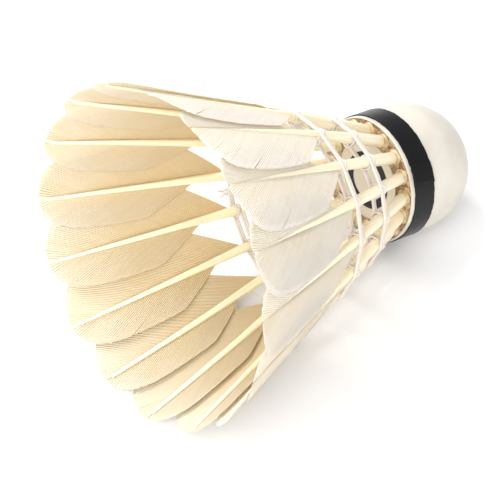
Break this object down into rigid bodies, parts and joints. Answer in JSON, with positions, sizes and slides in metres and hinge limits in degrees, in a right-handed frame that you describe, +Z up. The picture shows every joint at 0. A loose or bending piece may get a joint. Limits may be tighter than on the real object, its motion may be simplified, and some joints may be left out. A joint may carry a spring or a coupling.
{
  "type": "badminton shuttlecock",
  "caption": "Feather shuttlecock lying on its side: a domed leather-covered cork base with a black ribbon, and a flared skirt of lashed goose feathers.",
  "frame": {"origin": "on the ground under the middle of the part's box, with the shuttlecock lying at rest on its cork and two feather tips", "axes": "+X along the ground towards the nose, +Z up, +Y completes the right-handed frame; the flight axis lies in the XZ plane, nose down"},
  "size_m": [0.0854, 0.0688, 0.0656],
  "materials": {
    "leather": "fine-grained white kid leather, matte",
    "natural_cork": "natural cork",
    "pressed_cork": "pressed granulated cork",
    "ribbon": "black satin ribbon",
    "steel": "plain steel",
    "paper": "plain uncoated paper",
    "glue": "clear dried glue",
    "thread": "twisted thread stiffened with glue",
    "quill": "smooth pale yellow quill, slightly glossy",
    "vane": "ivory feather barbs, matte, slightly see-through"
  },
  "bodies": {
    "root": {"leather_cover": "leather", "cork_nose": "natural_cork", "cork_core": "pressed_cork", "ribbon_band": "ribbon", "ballast_nail": "steel", "inner_label": "paper", "socket_glue": "glue", "front_lashing_thread_a": "thread", "front_lashing_thread_b": "thread", "front_lashing_knot": "thread", "rear_lashing_thread_a": "thread", "rear_lashing_thread_b": "thread", "rear_lashing_knot": "thread", "quill_01": "quill", "vane_01": "vane", "quill_02": "quill", "vane_02": "vane", "quill_03": "quill", "vane_03": "vane", "quill_04": "quill", "vane_04": "vane", "quill_05": "quill", "vane_05": "vane", "quill_06": "quill", "vane_06": "vane", "quill_07": "quill", "vane_07": "vane", "quill_08": "quill", "vane_08": "vane", "quill_09": "quill", "vane_09": "vane", "quill_10": "quill", "vane_10": "vane", "quill_11": "quill", "vane_11": "vane", "quill_12": "quill", "vane_12": "vane", "quill_13": "quill", "vane_13": "vane", "quill_14": "quill", "vane_14": "vane", "quill_15": "quill", "vane_15": "vane", "quill_16": "quill", "vane_16": "vane"}
  },
  "joints": []
}
